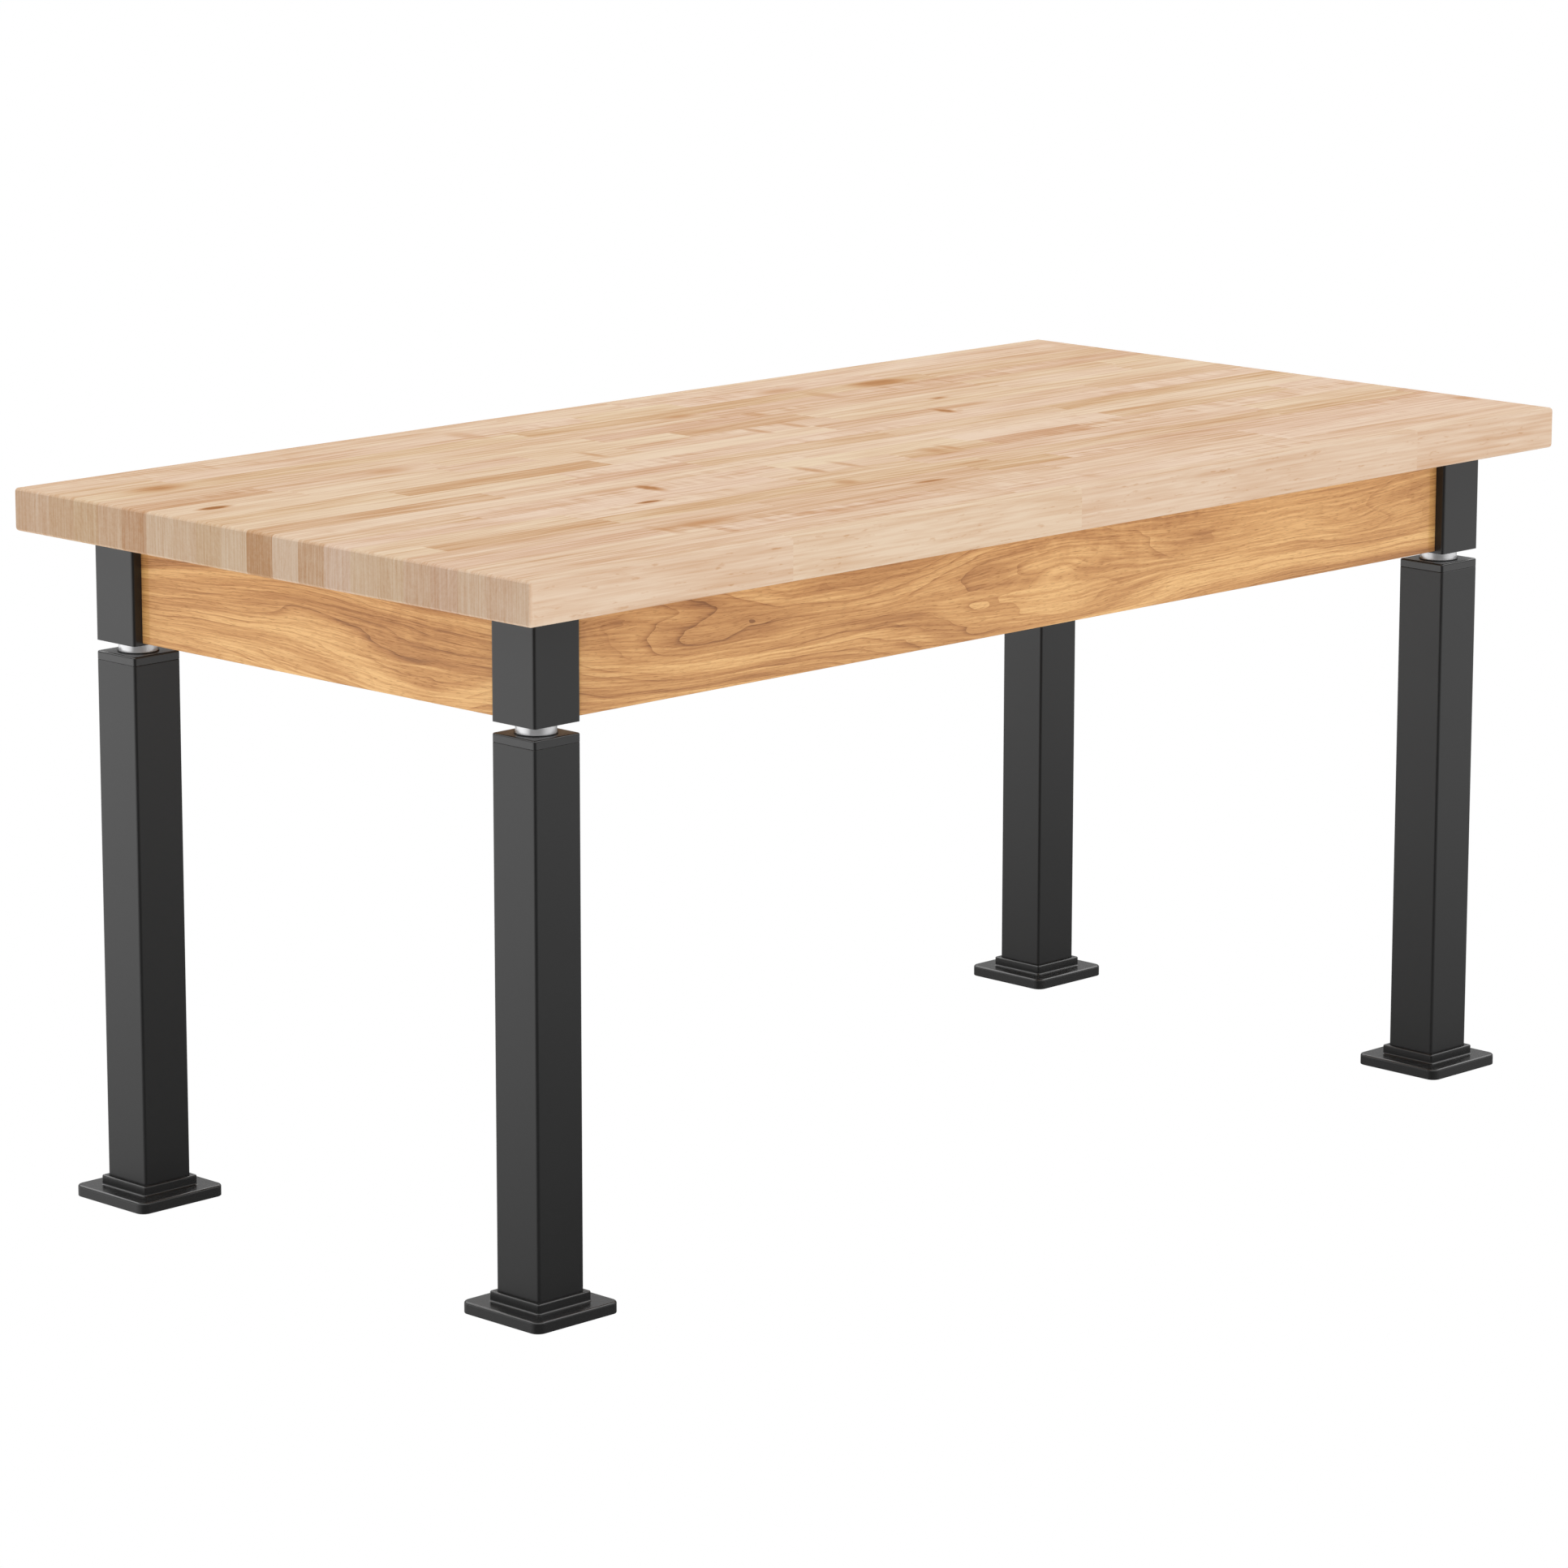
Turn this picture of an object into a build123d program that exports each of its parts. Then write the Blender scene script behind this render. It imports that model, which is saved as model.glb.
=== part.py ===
from build123d import *
import os

# Height-adjustable butcher block table, at its lowest setting.
# Millimetres. The floor is z = 0, +X runs along the table, -Y is its front and +Z is up.

os.makedirs("parts", exist_ok=True)

# ---- Driving sizes

top_length = 1524
top_width = 762
top_thickness = 44
top_edge_round = 4
table_height = 738
top_underside = table_height - top_thickness

tube_size = 60
tube_wall = 3
tube_inside = tube_size - 2 * tube_wall
tube_corner = 3
leg_inset = 56.5
leg_x = top_length / 2 - leg_inset - tube_size / 2
leg_y = top_width / 2 - leg_inset - tube_size / 2
leg_centres = [(x, y) for x in (-leg_x, leg_x) for y in (-leg_y, leg_y)]
legs = {
    "front_left": (-1, -1),
    "front_right": (1, -1),
    "back_left": (-1, 1),
    "back_right": (1, 1),
}

sleeve_bottom = 582.5
sleeve_floor = 4

column_radius = 20
column_bore = 17
column_bottom = 108
column_top = 660
head_plate_height = 8
sliding_gap = 0.3
running_gap = 0.05

cap_top = 571.5
cap_height = 9.1
cap_round = 1.8
cap_plug = 22.4
cap_seam = 0.4
tube_top = cap_top - cap_height

foot_plate = 110
foot_plate_height = 12
foot_plate_corner = 10
foot_collar = 70
foot_collar_height = 10
foot_collar_corner = 2.5
foot_plate_round = 2.2
foot_under_round = 1
foot_collar_round = 1.5
foot_collar_weld = 1.5
collar_gap = 0.3

apron_recess = 11.3
apron_thickness = 19
apron_bottom = 584.7
apron_outer_x = leg_x + tube_size / 2 - apron_recess
apron_outer_y = leg_y + tube_size / 2 - apron_recess
apron_inner_x = apron_outer_x - apron_thickness
apron_inner_y = apron_outer_y - apron_thickness
sleeve_inner_x = leg_x - tube_size / 2
sleeve_inner_y = leg_y - tube_size / 2

sheet = 3
plate_bottom = top_underside - sheet
screw_radius = 2.45
screw_head_radius = 5.5
screw_head_height = 3.5
screw_length = 25
pilot_radius = 2.5
pilot_spare = 1
clearance_radius = 2.8

pump_z = 612

corner_low = (Align.MIN, Align.MIN)


def keep(piece, name):
    """Label a finished piece and write it as its own node."""
    piece.part.label = name
    export_step(piece.part, f"parts/{name}.step")


# ---- Where the frame's screws go up into the top

gusset_span = 110
gusset_near = 50
gusset_far = 92
gusset_edge = 14
gusset_screws = [
    (sx * (apron_inner_x - along), sy * (apron_inner_y - across))
    for sx, sy in legs.values()
    for along, across in ((gusset_near, gusset_edge), (gusset_far, gusset_edge), (gusset_edge, gusset_far))
]
rail_x = 380
rail_length = 500
rail_flange = 30
rail_web = 18
rail_screw_inset = 14
rail_screw_pitch = 200
rail_screws = [
    (side * (rail_x + rail_screw_inset), y)
    for side in (-1, 1)
    for y in (-rail_screw_pitch, 0, rail_screw_pitch)
]
pump_plate_width = 250
pump_plate_back = 240
pump_plate_front = -228
pump_screw_x = 112
pump_screw_front = -150
pump_screw_back = 160
pump_screws = [(x, y) for x in (-pump_screw_x, pump_screw_x) for y in (pump_screw_front, pump_screw_back)]
frame_screw_points = gusset_screws + rail_screws + pump_screws

# ---- Butcher block top: one glued slab with eased edges and pilot holes underneath

with BuildPart() as block_top:
    with BuildSketch(Plane.XY.offset(top_underside)):
        Rectangle(top_length, top_width)
    extrude(amount=top_thickness)
    fillet(block_top.edges(), radius=top_edge_round)
    with BuildSketch(Plane.XY.offset(top_underside)):
        with Locations(*frame_screw_points):
            Circle(pilot_radius)
    extrude(amount=screw_length - sheet + pilot_spare, mode=Mode.SUBTRACT)
keep(block_top, "butcher_block_top")

# ---- Aprons: boards between the sleeves, set back from their outer faces

bracket_leg = 30
bracket_bottom = 600
bracket_height = 50
bracket_relief = 2
bracket_screw = 18
apron_screw_length = 15
apron_screw_heights = (612, 638)
apron_edge_round = 1
crank_hole_radius = 10


def long_apron(side):
    """Front (side -1) or back (side 1) board, with its bracket screws' pilot holes."""
    with BuildPart() as board:
        with BuildSketch(Plane.XY.offset(apron_bottom)):
            with Locations((0, side * (apron_outer_y + apron_inner_y) / 2)):
                Rectangle(2 * sleeve_inner_x, apron_thickness)
        extrude(amount=top_underside - apron_bottom)
        fillet(board.faces().sort_by(Axis.Z)[0].edges().filter_by(Axis.X), radius=apron_edge_round)
        with BuildSketch(Plane((0, side * apron_inner_y, 0), x_dir=(1, 0, 0), z_dir=(0, side, 0))):
            for end in (-1, 1):
                for height in apron_screw_heights:
                    with Locations((end * (sleeve_inner_x - bracket_screw), -side * height)):
                        Circle(pilot_radius)
        extrude(amount=apron_screw_length - sheet + pilot_spare, mode=Mode.SUBTRACT)
        if side > 0:
            with BuildSketch(Plane((0, apron_inner_y, pump_z), z_dir=(0, 1, 0))):
                Circle(crank_hole_radius)
            extrude(amount=apron_thickness, mode=Mode.SUBTRACT)
    return board


def short_apron(side):
    """Left (side -1) or right (side 1) board, with its bracket screws' pilot holes."""
    with BuildPart() as board:
        with BuildSketch(Plane.XY.offset(apron_bottom)):
            with Locations((side * (apron_outer_x + apron_inner_x) / 2, 0)):
                Rectangle(apron_thickness, 2 * sleeve_inner_y)
        extrude(amount=top_underside - apron_bottom)
        fillet(board.faces().sort_by(Axis.Z)[0].edges().filter_by(Axis.Y), radius=apron_edge_round)
        with BuildSketch(Plane((side * apron_inner_x, 0, 0), x_dir=(0, 1, 0), z_dir=(side, 0, 0))):
            for end in (-1, 1):
                for height in apron_screw_heights:
                    with Locations((end * (sleeve_inner_y - bracket_screw), side * height)):
                        Circle(pilot_radius)
        extrude(amount=apron_screw_length - sheet + pilot_spare, mode=Mode.SUBTRACT)
    return board


keep(long_apron(-1), "apron_front")
keep(long_apron(1), "apron_back")
keep(short_apron(-1), "apron_left")
keep(short_apron(1), "apron_right")

# ---- Upper half of each leg, fixed under the top: square sleeve and round column

hose_z = 679
hose_offset = 10
hose_radius = 3
port_radius = 6

for corner, (sx, sy) in legs.items():
    axis = Plane((sx * leg_x, sy * leg_y, 0))

    with BuildPart() as sleeve:
        with BuildSketch(axis.offset(sleeve_bottom)):
            RectangleRounded(tube_size, tube_size, tube_corner)
        extrude(amount=top_underside - sleeve_bottom)
        with BuildSketch(axis.offset(sleeve_bottom + sleeve_floor)):
            Rectangle(tube_inside, tube_inside)
        extrude(amount=top_underside - sleeve_bottom - sleeve_floor, mode=Mode.SUBTRACT)
        with BuildSketch(axis.offset(sleeve_bottom)):
            Circle(column_radius)
        extrude(amount=sleeve_floor, mode=Mode.SUBTRACT)
        port = (sx * leg_x, sy * (leg_y - hose_offset), hose_z)
        with BuildSketch(Plane(port, z_dir=(-sx, 0, 0))):
            Circle(port_radius)
        extrude(amount=tube_size, mode=Mode.SUBTRACT)
    keep(sleeve, f"sleeve_{corner}")

    with BuildPart() as column:
        with BuildSketch(axis.offset(column_bottom)):
            Circle(column_radius)
            Circle(column_bore, mode=Mode.SUBTRACT)
        extrude(amount=column_top - column_bottom)
    keep(column, f"column_{corner}")

# ---- Hydraulic cylinder inside each column, hung from the plate that holds the column

barrel_radius = 15
barrel_bore = 12
barrel_bottom = 130
flange_radius = 22
flange_height = 4
head_plate_top = column_top + head_plate_height
cylinder_top = head_plate_top + flange_height
cylinder_head = 36
cylinder_head_height = 14
cylinder_head_corner = 2
feed_radius = 2
rod_radius = 8
gland_top = 160
gland_flange = 8
slider_height = 40

with BuildPart() as column_head_plates:
    with BuildSketch(Plane.XY.offset(column_top)):
        with Locations(*leg_centres):
            Rectangle(tube_inside - 2 * sliding_gap, tube_inside - 2 * sliding_gap)
            Circle(barrel_radius, mode=Mode.SUBTRACT)
    extrude(amount=head_plate_height)
keep(column_head_plates, "column_head_plates")

with BuildPart() as column_sliders:
    with BuildSketch(Plane.XY.offset(column_bottom)):
        with Locations(*leg_centres):
            Rectangle(tube_inside - 2 * sliding_gap, tube_inside - 2 * sliding_gap)
            Circle(column_radius, mode=Mode.SUBTRACT)
    extrude(amount=slider_height)
keep(column_sliders, "column_sliders")

with BuildPart() as cylinder_barrels:
    with BuildSketch(Plane.XY.offset(barrel_bottom)):
        with Locations(*leg_centres):
            Circle(barrel_radius)
    extrude(amount=cylinder_top - barrel_bottom)
    with BuildSketch(Plane.XY.offset(head_plate_top)):
        with Locations(*leg_centres):
            Circle(flange_radius)
    extrude(amount=flange_height)
    with BuildSketch(Plane.XY.offset(barrel_bottom)):
        with Locations(*leg_centres):
            Circle(barrel_bore)
    extrude(amount=cylinder_top - barrel_bottom, mode=Mode.SUBTRACT)
keep(cylinder_barrels, "cylinder_barrels")

with BuildPart() as cylinder_heads:
    with BuildSketch(Plane.XY.offset(cylinder_top)):
        with Locations(*leg_centres):
            RectangleRounded(cylinder_head, cylinder_head, cylinder_head_corner)
    extrude(amount=cylinder_head_height)
    for sx, sy in legs.values():
        port = (sx * leg_x, sy * (leg_y - hose_offset), hose_z)
        with BuildSketch(Plane(port, z_dir=(-sx, 0, 0))):
            Circle(hose_radius)
        extrude(amount=cylinder_head / 2, mode=Mode.SUBTRACT)
        with BuildSketch(Plane((sx * leg_x, sy * (leg_y - hose_offset), cylinder_top))):
            Circle(feed_radius)
        extrude(amount=hose_z - cylinder_top, mode=Mode.SUBTRACT)
keep(cylinder_heads, "cylinder_heads")

with BuildPart() as cylinder_glands:
    with BuildSketch(Plane.XY.offset(barrel_bottom - gland_flange)):
        with Locations(*leg_centres):
            Circle(barrel_radius)
    extrude(amount=gland_flange)
    with BuildSketch(Plane.XY.offset(barrel_bottom)):
        with Locations(*leg_centres):
            Circle(barrel_bore)
    extrude(amount=gland_top - barrel_bottom)
    with BuildSketch(Plane.XY.offset(barrel_bottom - gland_flange)):
        with Locations(*leg_centres):
            Circle(rod_radius + running_gap)
    extrude(amount=gland_top - barrel_bottom + gland_flange, mode=Mode.SUBTRACT)
keep(cylinder_glands, "cylinder_glands")

# ---- Lower half of each leg, which slides down as the table rises

bush_radius = 23
bush_top = 563
wiper_step = 567
wiper_radius = 21.2
wiper_lip = 0.8
wiper_top = cap_top + wiper_lip
spigot_radius = 6
spigot_bottom = 2
piston_height = 25
piston_gap = 5
piston_top = cylinder_top - piston_gap

for corner, (sx, sy) in legs.items():
    axis = Plane((sx * leg_x, sy * leg_y, 0))

    with BuildPart() as leg_tube:
        with BuildSketch(axis.offset(foot_plate_height)):
            RectangleRounded(tube_size, tube_size, tube_corner)
            Rectangle(tube_inside, tube_inside, mode=Mode.SUBTRACT)
        extrude(amount=tube_top - foot_plate_height)
        chamfer(leg_tube.faces().sort_by(Axis.Z)[-1].outer_wire().edges(), length=cap_seam)
    keep(leg_tube, f"leg_tube_{corner}")

    with BuildPart() as leg_cap:
        with BuildSketch(axis.offset(tube_top)):
            RectangleRounded(tube_size, tube_size, tube_corner)
        extrude(amount=cap_height)
        fillet(leg_cap.faces().sort_by(Axis.Z)[-1].edges(), radius=cap_round)
        chamfer(leg_cap.faces().sort_by(Axis.Z)[0].edges(), length=cap_seam)
        with BuildSketch(axis.offset(tube_top - cap_plug)):
            Rectangle(tube_inside, tube_inside)
        extrude(amount=cap_plug)
        with BuildSketch(axis.offset(tube_top - cap_plug)):
            Circle(bush_radius)
        extrude(amount=wiper_step - tube_top + cap_plug, mode=Mode.SUBTRACT)
        with BuildSketch(axis.offset(wiper_step)):
            Circle(wiper_radius)
        extrude(amount=cap_top - wiper_step, mode=Mode.SUBTRACT)
    keep(leg_cap, f"leg_cap_{corner}")

    with BuildPart() as guide_bush:
        with BuildSketch(axis.offset(tube_top - cap_plug)):
            Circle(bush_radius)
            Circle(column_radius + running_gap, mode=Mode.SUBTRACT)
        extrude(amount=bush_top - tube_top + cap_plug)
    keep(guide_bush, f"guide_bush_{corner}")

    with BuildPart() as wiper_ring:
        with BuildSketch(axis.offset(bush_top)):
            Circle(bush_radius)
        extrude(amount=wiper_step - bush_top)
        with BuildSketch(axis.offset(wiper_step)):
            Circle(wiper_radius)
        extrude(amount=wiper_top - wiper_step)
        with BuildSketch(axis.offset(bush_top)):
            Circle(column_radius + running_gap)
        extrude(amount=wiper_top - bush_top, mode=Mode.SUBTRACT)
    keep(wiper_ring, f"wiper_ring_{corner}")

    with BuildPart() as piston_rod:
        with BuildSketch(axis.offset(spigot_bottom)):
            Circle(spigot_radius)
        extrude(amount=foot_plate_height - spigot_bottom)
        with BuildSketch(axis.offset(foot_plate_height)):
            Circle(rod_radius)
        extrude(amount=piston_top - piston_height - foot_plate_height)
        with BuildSketch(axis.offset(piston_top - piston_height)):
            Circle(barrel_bore - running_gap)
        extrude(amount=piston_height)
    keep(piston_rod, f"piston_rod_{corner}")

    with BuildPart() as foot:
        with BuildSketch(axis):
            RectangleRounded(foot_plate, foot_plate, foot_plate_corner)
        extrude(amount=foot_plate_height)
        fillet(foot.faces().sort_by(Axis.Z)[-1].edges(), radius=foot_plate_round)
        fillet(foot.faces().sort_by(Axis.Z)[0].edges(), radius=foot_under_round)
        with BuildSketch(axis.offset(foot_plate_height)):
            RectangleRounded(foot_collar, foot_collar, foot_collar_corner)
        extrude(amount=foot_collar_height)
        fillet(foot.faces().sort_by(Axis.Z)[-1].edges(), radius=foot_collar_round)
        plate_face = foot.faces().filter_by(Plane.XY).sort_by(Axis.Z)[-2]
        fillet(plate_face.inner_wires()[0].edges(), radius=foot_collar_weld)
        collar_pocket = tube_size + 2 * collar_gap
        with BuildSketch(axis.offset(foot_plate_height)):
            RectangleRounded(collar_pocket, collar_pocket, tube_corner)
        extrude(amount=foot_collar_height, mode=Mode.SUBTRACT)
        with BuildSketch(axis):
            Circle(spigot_radius)
        extrude(amount=foot_plate_height, mode=Mode.SUBTRACT)
    keep(foot, f"foot_{corner}")

# ---- Frame under the top: corner gussets, two angle rails, apron brackets and screws

with BuildPart() as corner_gussets:
    with BuildSketch(Plane.XY.offset(plate_bottom)) as gusset_outline:
        with Locations((-apron_inner_x, -apron_inner_y)):
            Rectangle(gusset_span, gusset_span, align=corner_low)
        far_corner = gusset_outline.vertices().sort_by(Axis.X)[-2:].sort_by(Axis.Y)[-1]
        chamfer(far_corner, length=gusset_span / 2)
        with Locations((-leg_x, -leg_y)):
            Rectangle(tube_size, tube_size, mode=Mode.SUBTRACT)
        with Locations(*gusset_screws[:3]):
            Circle(clearance_radius, mode=Mode.SUBTRACT)
    extrude(amount=sheet)
    mirror(about=Plane.YZ)
    mirror(about=Plane.XZ)
keep(corner_gussets, "corner_gussets")

with BuildPart() as stiffening_rails:
    with BuildSketch(Plane.XY.offset(plate_bottom)):
        with Locations((rail_x, 0)):
            Rectangle(rail_flange, rail_length, align=(Align.MIN, Align.CENTER))
        with Locations(*rail_screws[3:]):
            Circle(clearance_radius, mode=Mode.SUBTRACT)
    extrude(amount=sheet)
    with BuildSketch(Plane.XY.offset(top_underside - rail_web)):
        with Locations((rail_x, 0)):
            Rectangle(sheet, rail_length, align=(Align.MIN, Align.CENTER))
    extrude(amount=rail_web)
    mirror(about=Plane.YZ)
keep(stiffening_rails, "stiffening_rails")

with BuildPart() as apron_brackets:
    with BuildSketch(Plane.XY.offset(bracket_bottom)):
        with Locations((-sleeve_inner_x, -apron_inner_y)):
            Rectangle(bracket_leg, sheet, align=corner_low)
            Rectangle(sheet, bracket_leg - bracket_relief, align=corner_low)
        with Locations((-apron_inner_x, -sleeve_inner_y)):
            Rectangle(sheet, bracket_leg, align=corner_low)
            Rectangle(bracket_leg - bracket_relief, sheet, align=corner_low)
    extrude(amount=bracket_height)
    for height in apron_screw_heights:
        with BuildSketch(Plane((-sleeve_inner_x + bracket_screw, -apron_inner_y, height), z_dir=(0, 1, 0))):
            Circle(clearance_radius)
        extrude(amount=sheet, mode=Mode.SUBTRACT)
        with BuildSketch(Plane((-apron_inner_x, -sleeve_inner_y + bracket_screw, height), z_dir=(1, 0, 0))):
            Circle(clearance_radius)
        extrude(amount=sheet, mode=Mode.SUBTRACT)
    mirror(about=Plane.YZ)
    mirror(about=Plane.XZ)
keep(apron_brackets, "apron_brackets")

with BuildPart() as apron_screws:
    for height in apron_screw_heights:
        seat_front = (-sleeve_inner_x + bracket_screw, -apron_inner_y + sheet, height)
        seat_left = (-apron_inner_x + sheet, -sleeve_inner_y + bracket_screw, height)
        for seat, inward in ((seat_front, (0, 1, 0)), (seat_left, (1, 0, 0))):
            with BuildSketch(Plane(seat, z_dir=inward)):
                Circle(screw_head_radius)
            extrude(amount=screw_head_height)
            with BuildSketch(Plane(seat, z_dir=inward)):
                Circle(screw_radius)
            extrude(amount=-apron_screw_length)
    mirror(about=Plane.YZ)
    mirror(about=Plane.XZ)
keep(apron_screws, "apron_screws")

with BuildPart() as frame_screws:
    with BuildSketch(Plane.XY.offset(plate_bottom - screw_head_height)):
        with Locations(*frame_screw_points):
            Circle(screw_head_radius)
    extrude(amount=screw_head_height)
    with BuildSketch(Plane.XY.offset(plate_bottom)):
        with Locations(*frame_screw_points):
            Circle(screw_radius)
    extrude(amount=screw_length)
keep(frame_screws, "frame_screws")

# ---- Screw pump: four barrels in a row, fed by one crosshead on a lead screw

pump_half = 118
pump_plate_corner = 8
pump_low = 590
head_front = -215
head_back = -185
barrel_end = 25
end_front = 215
end_back = 227
inner_barrel_x = 34
outer_barrel_x = 78
pump_barrels_x = (-outer_barrel_x, -inner_barrel_x, inner_barrel_x, outer_barrel_x)
pump_bore = 17
pump_barrel_radius = 20
guide_x = 107
guide_radius = 5
screw_shaft = 8
screw_socket = 10
screw_end_gap = 1
crosshead_front = 187
crosshead_back = 205
pump_piston_back = 15
pump_piston_length = 20
pump_rod = 5
thrust_collar = 13
collar_length = 6
axial_gap = 0.1


def across(y):
    """Plane facing the back of the table, centred on the pump's axis."""
    return Plane((0, y, pump_z), x_dir=(1, 0, 0), z_dir=(0, 1, 0))


def hanger_outline():
    """Plate from the pump's lower edge up to the mounting plate, drawn across the pump."""
    with BuildSketch(mode=Mode.PRIVATE) as outline:
        with Locations((0, -(plate_bottom + pump_low) / 2 + pump_z)):
            Rectangle(2 * pump_half, plate_bottom - pump_low)
    return outline.sketch


with BuildPart() as pump_mount_plate:
    with BuildSketch(Plane.XY.offset(plate_bottom)):
        with Locations((0, (pump_plate_back + pump_plate_front) / 2)):
            RectangleRounded(pump_plate_width, pump_plate_back - pump_plate_front, pump_plate_corner)
        with Locations(*pump_screws):
            Circle(clearance_radius, mode=Mode.SUBTRACT)
    extrude(amount=sheet)
keep(pump_mount_plate, "pump_mount_plate")

with BuildPart() as pump_head:
    with BuildSketch(across(head_front)):
        add(hanger_outline())
        with Locations(*[(x, 0) for x in pump_barrels_x]):
            Circle(hose_radius, mode=Mode.SUBTRACT)
        with Locations((-guide_x, 0), (guide_x, 0)):
            Circle(guide_radius, mode=Mode.SUBTRACT)
    extrude(amount=head_back - head_front)
    with BuildSketch(across(head_back - screw_socket)):
        Circle(screw_shaft + running_gap)
    extrude(amount=screw_socket, mode=Mode.SUBTRACT)
keep(pump_head, "pump_head")

with BuildPart() as pump_barrels:
    with BuildSketch(across(head_back)):
        with Locations(*[(x, 0) for x in pump_barrels_x]):
            Circle(pump_barrel_radius)
            Circle(pump_bore, mode=Mode.SUBTRACT)
    extrude(amount=barrel_end - head_back)
keep(pump_barrels, "pump_barrels")

with BuildPart() as pump_end_plate:
    with BuildSketch(across(end_front)):
        add(hanger_outline())
        Circle(screw_shaft + running_gap, mode=Mode.SUBTRACT)
        with Locations((-guide_x, 0), (guide_x, 0)):
            Circle(guide_radius, mode=Mode.SUBTRACT)
    extrude(amount=end_back - end_front)
keep(pump_end_plate, "pump_end_plate")

with BuildPart() as pump_guide_rods:
    with BuildSketch(across(head_front)):
        with Locations((-guide_x, 0), (guide_x, 0)):
            Circle(guide_radius)
    extrude(amount=end_back - head_front)
keep(pump_guide_rods, "pump_guide_rods")

with BuildPart() as pump_crosshead:
    with BuildSketch(across(crosshead_front)):
        Rectangle(2 * pump_half, 2 * pump_barrel_radius)
        Circle(screw_shaft + running_gap, mode=Mode.SUBTRACT)
        with Locations((-guide_x, 0), (guide_x, 0)):
            Circle(guide_radius + running_gap, mode=Mode.SUBTRACT)
    extrude(amount=crosshead_back - crosshead_front)
keep(pump_crosshead, "pump_crosshead")

with BuildPart() as pump_pistons:
    with BuildSketch(across(pump_piston_back)):
        with Locations(*[(x, 0) for x in pump_barrels_x]):
            Circle(pump_bore - running_gap)
    extrude(amount=-pump_piston_length)
    with BuildSketch(across(pump_piston_back)):
        with Locations(*[(x, 0) for x in pump_barrels_x]):
            Circle(pump_rod)
    extrude(amount=crosshead_front - pump_piston_back)
keep(pump_pistons, "pump_pistons")

# ---- Lead screw and hand crank, with the crank just behind the back apron

crank_radius = 68
crank_hub_front = 316
crank_hub_radius = 13
crank_arm_front = 326
crank_arm_back = 334
crank_arm_width = 20
crank_boss_radius = 12
crank_spindle = 6
crank_pin_radius = 4
grip_radius = 11
grip_front = 335
grip_back = 376
grip_round = 3
pin_head_radius = 6.5
pin_head_back = 379

with BuildPart() as lead_screw:
    with BuildSketch(across(head_back - screw_socket + screw_end_gap)):
        Circle(screw_shaft)
    extrude(amount=crank_hub_front - head_back + screw_socket - screw_end_gap)
    with BuildSketch(across(crank_hub_front)):
        Circle(crank_spindle)
    extrude(amount=crank_arm_back - crank_hub_front)
    with BuildSketch(across(end_front - axial_gap - collar_length)):
        Circle(thrust_collar)
    extrude(amount=collar_length)
    with BuildSketch(across(end_back + axial_gap)):
        Circle(thrust_collar)
    extrude(amount=collar_length)
keep(lead_screw, "lead_screw")

with BuildPart() as crank_arm:
    with BuildSketch(across(crank_hub_front)):
        Circle(crank_hub_radius)
    extrude(amount=crank_arm_back - crank_hub_front)
    with BuildSketch(across(crank_arm_front)):
        with Locations((0, -crank_radius / 2)):
            Rectangle(crank_arm_width, crank_radius)
        with Locations((0, -crank_radius)):
            Circle(crank_boss_radius)
    extrude(amount=crank_arm_back - crank_arm_front)
    with BuildSketch(across(crank_hub_front)):
        Circle(crank_spindle)
        with Locations((0, -crank_radius)):
            Circle(crank_pin_radius)
    extrude(amount=crank_arm_back - crank_hub_front, mode=Mode.SUBTRACT)
keep(crank_arm, "crank_arm")

with BuildPart() as crank_pin:
    with BuildSketch(across(crank_arm_front)):
        with Locations((0, -crank_radius)):
            Circle(crank_pin_radius)
    extrude(amount=pin_head_back - crank_arm_front)
    with BuildSketch(across(grip_back + axial_gap)):
        with Locations((0, -crank_radius)):
            Circle(pin_head_radius)
    extrude(amount=pin_head_back - grip_back - axial_gap)
keep(crank_pin, "crank_pin")

with BuildPart() as crank_grip:
    with BuildSketch(across(grip_front)):
        with Locations((0, -crank_radius)):
            Circle(grip_radius)
    extrude(amount=grip_back - grip_front)
    fillet(crank_grip.edges(), radius=grip_round)
    with BuildSketch(across(grip_front)):
        with Locations((0, -crank_radius)):
            Circle(crank_pin_radius + 2 * running_gap)
    extrude(amount=grip_back - grip_front, mode=Mode.SUBTRACT)
keep(crank_grip, "crank_grip")

# ---- Hoses from the pump's ports to the cylinder heads, clipped under the top

hose_start_x = -(leg_x - cylinder_head / 2)
hose_line = leg_y - hose_offset
back_hose_x = -165
port_turn_y = -262
front_route = [
    (hose_start_x, -hose_line, hose_z),
    (-560, -hose_line, hose_z),
    (-300, -hose_line, pump_z),
    (-inner_barrel_x, -hose_line, pump_z),
    (-inner_barrel_x, head_front, pump_z),
]
back_route = [
    (hose_start_x, hose_line, hose_z),
    (back_hose_x, hose_line, hose_z),
    (back_hose_x, 120, hose_z),
    (back_hose_x, -100, pump_z),
    (back_hose_x, port_turn_y, pump_z),
    (-outer_barrel_x, port_turn_y, pump_z),
    (-outer_barrel_x, head_front, pump_z),
]
front_radii = [200, 200, 30]
back_radii = [40, 90, 90, 35, 20]

with BuildPart() as hydraulic_hoses:
    for route, radii in ((front_route, front_radii), (back_route, back_radii)):
        with BuildLine() as centre_line:
            FilletPolyline(*route, radius=radii)
        with BuildSketch(Plane(route[0], z_dir=(1, 0, 0))):
            Circle(hose_radius)
        sweep(path=centre_line.wires()[0])
    mirror(about=Plane.YZ)
keep(hydraulic_hoses, "hydraulic_hoses")

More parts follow.
